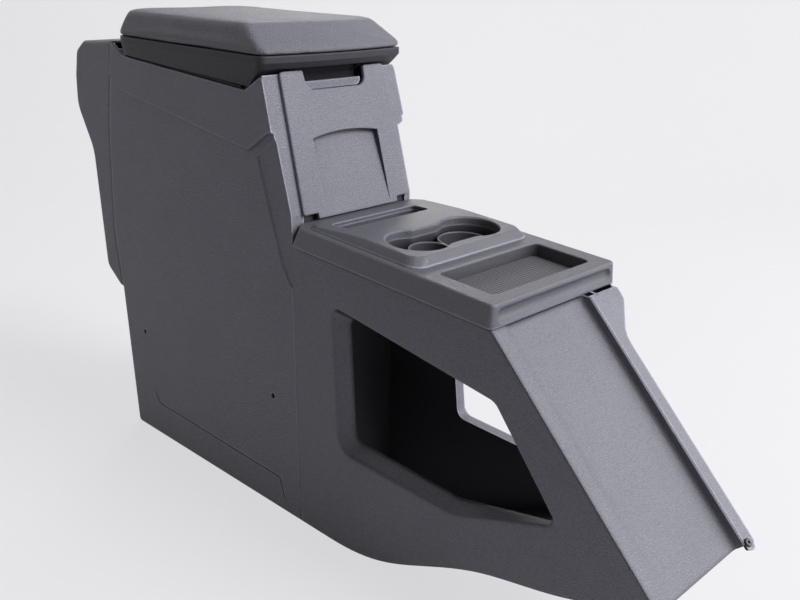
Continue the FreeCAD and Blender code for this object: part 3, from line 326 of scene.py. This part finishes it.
def ribbed_rubber(name, colour, pitch):
    """Rubber with a fine square grid of raised nubs; the pitch is in millimetres."""
    material, add, link = fresh(name)
    where = add("ShaderNodeTexCoord").outputs["Object"]
    place = split(add, link, where)
    pitch = pitch * MM
    rows = []
    for axis in ("X", "Y"):
        wave = reckon(add, link, "PINGPONG", place[axis], pitch / 2)
        rows.append(spread(add, link, wave, GROOVE * pitch, NUB * pitch))
    grid = reckon(add, link, "MINIMUM", *rows)
    dust = noise(add, link, where, Scale=DUST_SCALE, Detail=DUST_DETAIL)["Fac"]
    nubs = bumped(add, link, grid, NUB_BUMP, NUB_HEIGHT)
    dark = tuple(GROOVE_SHADE * c for c in colour)
    gloss = spread(add, link, dust, *NOISE_RANGE, RUBBER_SMOOTHEST, RUBBER_ROUGHEST)
    skin = add("ShaderNodeBsdfPrincipled", Roughness=RUBBER_ROUGH)
    link(blend_colour(add, link, grid, dark, colour), skin.inputs["Base Color"])
    link(gloss, skin.inputs["Roughness"])
    link(bumped(add, link, dust, DUST_BUMP, DUST_HEIGHT, nubs), skin.inputs["Normal"])
    cover_with(add, link, skin)
    return material


GREY = (0.19, 0.19, 0.225)
FRONT_GREY = (0.162, 0.162, 0.192)
SATIN_GREY = (0.098, 0.098, 0.12)
LID_GREY = (0.036, 0.036, 0.045)
HIDE_GREY = (0.15, 0.15, 0.18)
CUP_GREY = (0.072, 0.072, 0.088)
MAT_GREY = (0.12, 0.12, 0.137)
BUMPER_BLACK = (0.025, 0.025, 0.026)
SCREW_BLACK = (0.02, 0.02, 0.021)
STEEL = (0.5, 0.5, 0.51)

# In these sets, the value that lightens outer edges is the strength of a painted highlight
BODY = dict(rough=0.46, cell=2.3, depth=0.42, specular=0.28, painted_edge_light=1.7)
PANEL_BODY = dict(BODY, painted_edge_light=0.2)
LEFT_BODY = dict(BODY, depth=0.2, painted_edge_light=0.0)
RIGHT_BODY = dict(BODY, depth=0.2)
PADDLE_BODY = dict(BODY, specular=0.05)
SATIN = dict(rough=0.38, cell=2.0, depth=0.3, painted_edge_light=2.0)
LID_BODY = dict(rough=0.42, cell=2.0, depth=0.3, specular=0.16, painted_edge_light=1.6)
CUP_BODY = dict(rough=0.34, cell=1.4, depth=0.1, painted_edge_light=1.5)
HIDE = dict(rough=0.58, cell=2.4, depth=0.6, sheen=0.06, specular=0.38)

plastic = grained("grained_plastic", GREY, edge=3 * MM, **BODY)
panel_plastic = grained("grained_plastic_panel", GREY, edge=3 * MM, **PANEL_BODY)
# The walls get painted shade on their inner and downward faces, and the paddle painted shadow behind
# its lip
left_wall = grained("grained_plastic_left", FRONT_GREY, edge=7 * MM, shade_side=-1, **LEFT_BODY)
right_wall = grained("grained_plastic_right", GREY, edge=2 * MM, shade_side=1, **RIGHT_BODY)
paddle = grained("grained_plastic_paddle", GREY, edge=1.5 * MM, shade_from=LIP_BACK, **PADDLE_BODY)
satin = grained("grained_plastic_tray", SATIN_GREY, edge=2.5 * MM, **SATIN)
lid_plastic = grained("grained_plastic_lid", LID_GREY, edge=2.5 * MM, **LID_BODY)
inner = grained("inner_plastic", RAW_PLASTIC_AND_SHADE, rough=0.55, cell=1.4, depth=0.12)
cup_plastic = grained("inner_plastic_cup", CUP_GREY, edge=1.5 * MM, **CUP_BODY)
leather = grained("armrest_leather", HIDE_GREY, **HIDE)
steel = brushed("plated_steel", STEEL, rough=0.35, metal=1.0)
screw_black = brushed("black_screw", SCREW_BLACK, rough=0.4, metal=0.4)
mat_rubber = ribbed_rubber("mat_rubber", MAT_GREY, pitch=4.0)
bumper_rubber = grained("bumper_rubber", BUMPER_BLACK, rough=0.7, cell=1.2, depth=0.08)

# Finish of each material slot, and of the nodes that have one of their own
FINISH = {
    "grained_plastic": plastic,
    "inner_plastic": inner,
    "armrest_leather": leather,
    "steel": steel,
    "black_screw": screw_black,
    "rubber": bumper_rubber}
OWN_FINISH = {
    "tray_mat": mat_rubber,
    "front_shell": left_wall,
    "right_front_panel": right_wall,
    "tray_top": satin,
    "cup_bezel": satin,
    "lid_shell": lid_plastic,
    "cup_insert": cup_plastic,
    "latch_paddle": paddle,
    "bin_front_panel": panel_plastic}
for entry in frame["record"]["subparts"]:
    node = bpy.data.objects[entry["node"]]
    chosen = OWN_FINISH.get(entry["node"], FINISH[entry["material_slot"]])
    if not node.material_slots:
        node.data.materials.append(chosen)
    for holder in node.material_slots:
        holder.material = chosen


# Armrest pad: a sewn cover over foam, with wide bevels and a crowned top. Sizes are in
# millimetres, and those of the lid are as in the part's source.

LID_HALF, LID_FRONT, LID_REAR, LID_BOW = 112.5, 33.0, 373.0, 9.0
CORNER_FRONT, CORNER_REAR = 10.0, 34.0
SEAM_FRONT_Z, SEAM_REAR_Z = 593.0, 601.0
SEAM_TILT = (SEAM_REAR_Z - SEAM_FRONT_Z) / (LID_REAR - LID_FRONT)
# points along the front, a side, the rear, and the front and rear corners
FRONT_POINTS, SIDE_POINTS, REAR_POINTS = 28, 36, 20
FRONT_CORNER_POINTS, REAR_CORNER_POINTS = 7, 10
# height above the seam, inset at the sides, front and rear
PAD_PROFILE = (
    (0.6, 4.0, 4.0, 4.0), (1.0, 1.8, 1.8, 1.8), (2.4, 0.4, 0.4, 0.4), (5.0, 0.0, 0.0, 0.0),
    (8.0, 0.3, 1.4, 0.3), (10.0, 0.8, 4.4, 0.8), (14.0, 2.2, 10.6, 2.2), (19.0, 4.2, 18.4, 4.0),
    (24.0, 6.2, 26.0, 6.0), (28.0, 8.0, 32.2, 7.8), (32.0, 10.2, 38.2, 10.0), (34.0, 12.4, 41.6, 12.2),
    (34.8, 16.0, 45.0, 16.0), (35.1, 26.0, 54.0, 28.0), (35.5, 44.0, 72.0, 48.0),
    (35.8, 72.0, 100.0, 84.0))
VOXEL = 4.0
SEWN_HEIGHT = 4.0
PUFF = 0.6
CLOTH_STEPS = 20
CLOTH = dict(quality=5, mass=0.3, tension_stiffness=30, compression_stiffness=30, bending_stiffness=4,
             use_pressure=True, uniform_pressure_force=4)


def arc(cx, cy, radius, start, stop, steps):
    """Points on an arc, its end left out; angles in degrees."""
    angles = [math.radians(start + (stop - start) * i / steps) for i in range(steps)]
    return [(cx + radius * math.cos(a), cy + radius * math.sin(a)) for a in angles]


def run(a, b, steps):
    """Points on a straight line, its end left out."""
    return [(a[0] + (b[0] - a[0]) * i / steps, a[1] + (b[1] - a[1]) * i / steps) for i in range(steps)]


def pad_plan(side, front, rear):
    """Outline of the lid, inset on its sides, front and rear; always the same number of points."""
    half = LID_HALF - side
    y0, y1 = LID_FRONT + front, LID_REAR - rear
    rf, rr = CORNER_FRONT, CORNER_REAR
    points = []
    for x, y in run((-half + rf, y0), (half - rf, y0), FRONT_POINTS):
        share = x / (half - rf)
        points.append((x, y - LID_BOW * (1 - share * share)))
    points += arc(half - rf, y0 + rf, rf, -90, 0, FRONT_CORNER_POINTS)
    points += run((half, y0 + rf), (half, y1 - rr), SIDE_POINTS)
    points += arc(half - rr, y1 - rr, rr, 0, 90, REAR_CORNER_POINTS)
    points += run((half - rr, y1), (-half + rr, y1), REAR_POINTS)
    points += arc(-half + rr, y1 - rr, rr, 90, 180, REAR_CORNER_POINTS)
    points += run((-half, y1 - rr), (-half, y0 + rf), SIDE_POINTS)
    points += arc(-half + rf, y0 + rf, rf, 180, 270, FRONT_CORNER_POINTS)
    return points


def seam_height(y):
    """Height of the seam between pad and lid shell at a y."""
    return SEAM_FRONT_Z + SEAM_TILT * (y - LID_FRONT)


def build_pad():
    """The cover as rings of points, closed at its foot and top."""
    vertices, faces, rings = [], [], []
    for z, side, front, rear in PAD_PROFILE:
        ring = []
        for x, y in pad_plan(side, front, rear):
            ring.append(len(vertices))
            vertices.append((x * MM, y * MM + SEAM_Y, (seam_height(y) + z) * MM))
        rings.append(ring)
    count = len(rings[0])
    for low, high in zip(rings, rings[1:]):
        for i in range(count):
            j = (i + 1) % count
            faces.append((low[i], low[j], high[j], high[i]))
    faces.append(tuple(reversed(rings[0])))
    faces.append(tuple(rings[-1]))
    mesh = bpy.data.meshes.new("armrest_cover")
    mesh.from_pydata(vertices, [], faces)
    mesh.validate()
    piece = bpy.data.objects.new("armrest_cover", mesh)
    bpy.context.scene.collection.objects.link(piece)
    return piece


def settle(piece):
    """Replaces the piece's mesh by its evaluated one and drops the modifiers."""
    seen = piece.evaluated_get(bpy.context.evaluated_depsgraph_get())
    mesh = bpy.data.meshes.new_from_object(seen)
    piece.modifiers.clear()
    piece.data = mesh


def puff(piece):
    """Even mesh, then a short cloth run with a little pressure; no point moves more than PUFF."""
    even = piece.modifiers.new("even", "REMESH")
    even.mode = "VOXEL"
    even.voxel_size = VOXEL * MM
    settle(piece)
    start = [v.co.copy() for v in piece.data.vertices]
    sewn = piece.vertex_groups.new(name="sewn")
    low = [i for i, c in enumerate(start)
           if c.z / MM - seam_height((c.y - SEAM_Y) / MM) < SEWN_HEIGHT]
    sewn.add(low, 1.0, "REPLACE")
    cloth = piece.modifiers.new("cover", "CLOTH")
    for key, value in CLOTH.items():
        setattr(cloth.settings, key, value)
    cloth.settings.effector_weights.gravity = 0
    cloth.settings.vertex_group_mass = "sewn"
    cloth.collision_settings.use_collision = False
    scene = bpy.context.scene
    for step in range(1, CLOTH_STEPS + 1):
        scene.frame_set(step)
    settle(piece)
    scene.frame_set(1)
    for vertex, begun in zip(piece.data.vertices, start):
        move = vertex.co - begun
        if move.length > PUFF * MM:
            vertex.co = begun + move.normalized() * PUFF * MM
    finer = piece.modifiers.new("finer", "SUBSURF")
    finer.levels = 1
    finer.render_levels = 1
    settle(piece)


pad = build_pad()
puff(pad)
for polygon in pad.data.polygons:
    polygon.use_smooth = True
pad.data.materials.clear()
pad.data.materials.append(leather)
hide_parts("armrest_pad")
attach(pad, "lid")


# Floor and backdrop in one bent sheet, turned to the camera; sizes in metres

FLOOR_NEAR, FLOOR_FAR, BEND, BACKDROP_TOP = -6.0, 1.6, 0.9, 4.0
SHEET_HALF = 6.0
SHEET_TURN = -45
BEND_STEP = 10
PAPER_DARK, PAPER_LIGHT = (0.64, 0.64, 0.67), (0.7, 0.7, 0.73)
PAPER_ROUGH = 0.9
CLOUD_SCALE, CLOUD_DETAIL = 1.2, 2.0
PALE = (0.87, 0.87, 0.89, 1)
GLOW_SHARE = 0.75


def looked_at(add, link):
    """1 for rays from the camera, also by way of a mirror or through glass, else 0."""
    path = add("ShaderNodeLightPath").outputs
    result = path["Is Camera Ray"]
    for kind in ("Is Glossy Ray", "Is Transmission Ray"):
        result = reckon(add, link, "MAXIMUM", result, path[kind])
    return result


def mix_shaders(add, link, factor, first, second):
    """Shader that goes from the first to the second with a factor."""
    mixed = add("ShaderNodeMixShader")
    link(factor, mixed.inputs[0])
    link(first.outputs[0], mixed.inputs[1])
    link(second.outputs[0], mixed.inputs[2])
    return mixed


def studio_paper():
    """Pale matt paper; part of what the camera sees of it is an even glow, so that it stays pale."""
    material, add, link = fresh("studio_paper")
    where = add("ShaderNodeTexCoord").outputs["Object"]
    cloudy = noise(add, link, where, Scale=CLOUD_SCALE, Detail=CLOUD_DETAIL)["Fac"]
    paper = add("ShaderNodeBsdfPrincipled", Roughness=PAPER_ROUGH)
    link(blend_colour(add, link, cloudy, PAPER_DARK, PAPER_LIGHT), paper.inputs["Base Color"])
    glow = add("ShaderNodeEmission", Color=PALE, Strength=1.0)
    share = reckon(add, link, "MULTIPLY", looked_at(add, link), GLOW_SHARE)
    cover_with(add, link, mix_shaders(add, link, share, paper, glow))
    return material


def build_stage():
    profile = [(FLOOR_NEAR, 0.0), (FLOOR_FAR, 0.0)]
    for angle in range(BEND_STEP, 91, BEND_STEP):
        a = math.radians(angle)
        profile.append((FLOOR_FAR + BEND * math.sin(a), BEND - BEND * math.cos(a)))
    profile.append((FLOOR_FAR + BEND, BACKDROP_TOP))
    turn = Matrix.Rotation(math.radians(SHEET_TURN), 4, "Z")
    vertices = [tuple(turn @ Vector((side, depth, z)))
                for side in (-SHEET_HALF, SHEET_HALF) for depth, z in profile]
    count = len(profile)
    faces = [(i, i + 1, count + i + 1, count + i) for i in range(count - 1)]
    mesh = bpy.data.meshes.new("studio_sweep")
    mesh.from_pydata(vertices, [], faces)
    sweep = bpy.data.objects.new("studio_sweep", mesh)
    bpy.context.scene.collection.objects.link(sweep)
    for polygon in mesh.polygons:
        polygon.use_smooth = True
    mesh.materials.append(studio_paper())


build_stage()


# Soft studio light: name, place, aim, width and height in metres, and power in watts

LAMPS = (
    ("key", (1.0, -2.9, 2.9), (0, -0.1, 0.3), (1.9, 1.9), 212),
    ("front_right", (1.75, -2.0, 0.9), (0, 0.1, 0.6), (1.2, 1.0), 25),
    ("rim", (-0.6, 2.3, 1.7), (0, 0, 0.45), (1.4, 1.0), 3),
    ("back", (1.7, 1.8, 1.35), (0, 0, 0.42), (1.0, 0.6), 18))
AIR = (1.0, 1.0, 1.03, 1)
AIR_STRENGTH = 0.04


def softbox(name, place, aim, size, power):
    lamp = bpy.data.lights.new(name, "AREA")
    lamp.shape = "RECTANGLE"
    lamp.size, lamp.size_y = size
    lamp.energy = power
    holder = bpy.data.objects.new(name, lamp)
    holder.location = place
    holder.rotation_euler = (Vector(aim) - Vector(place)).to_track_quat("-Z", "Y").to_euler()
    bpy.context.scene.collection.objects.link(holder)


def build_air():
    """Weak even light, which looks as pale as the backdrop."""
    world = bpy.data.worlds.new("studio_air")
    world.use_nodes = True
    add, link = tools(world.node_tree)
    dim = add("ShaderNodeBackground", Color=AIR, Strength=AIR_STRENGTH)
    pale = add("ShaderNodeBackground", Color=PALE, Strength=1.0)
    mixed = mix_shaders(add, link, looked_at(add, link), dim, pale)
    link(mixed.outputs[0], add("ShaderNodeOutputWorld").inputs["Surface"])
    bpy.context.scene.world = world


for lamp_values in LAMPS:
    softbox(*lamp_values)
build_air()


# Camera at the photograph's viewpoint, fitted to the long straight edges

YAW, PITCH, ROLL = math.radians(-44.896), math.radians(19.497), math.radians(0.282)
CAMERA_X, CAMERA_Y, CAMERA_Z = -0.7652, -0.8460 + SEAM_Y, 0.6865
IMAGE_WIDTH, FOCAL_PIXELS = 800, 931.945
SENSOR_WIDTH = 36.0
CLIP_END = 50

back = Vector((math.sin(YAW) * math.cos(PITCH), -math.cos(YAW) * math.cos(PITCH), math.sin(PITCH)))
level = (-back).cross(Vector((0, 0, 1))).normalized()
rise = level.cross(-back)
right = math.cos(ROLL) * level + math.sin(ROLL) * rise
up = math.cos(ROLL) * rise - math.sin(ROLL) * level
lens = bpy.data.cameras.new("photo_camera")
lens.sensor_fit = "HORIZONTAL"
lens.sensor_width = SENSOR_WIDTH
lens.lens = FOCAL_PIXELS * SENSOR_WIDTH / IMAGE_WIDTH
lens.clip_end = CLIP_END
camera = bpy.data.objects.new("photo_camera", lens)
camera.matrix_world = Matrix((
    (right.x, up.x, back.x, CAMERA_X),
    (right.y, up.y, back.y, CAMERA_Y),
    (right.z, up.z, back.z, CAMERA_Z),
    (0, 0, 0, 1)))
bpy.context.scene.collection.objects.link(camera)
bpy.context.scene.camera = camera
bpy.context.scene.view_settings.view_transform = "Standard"
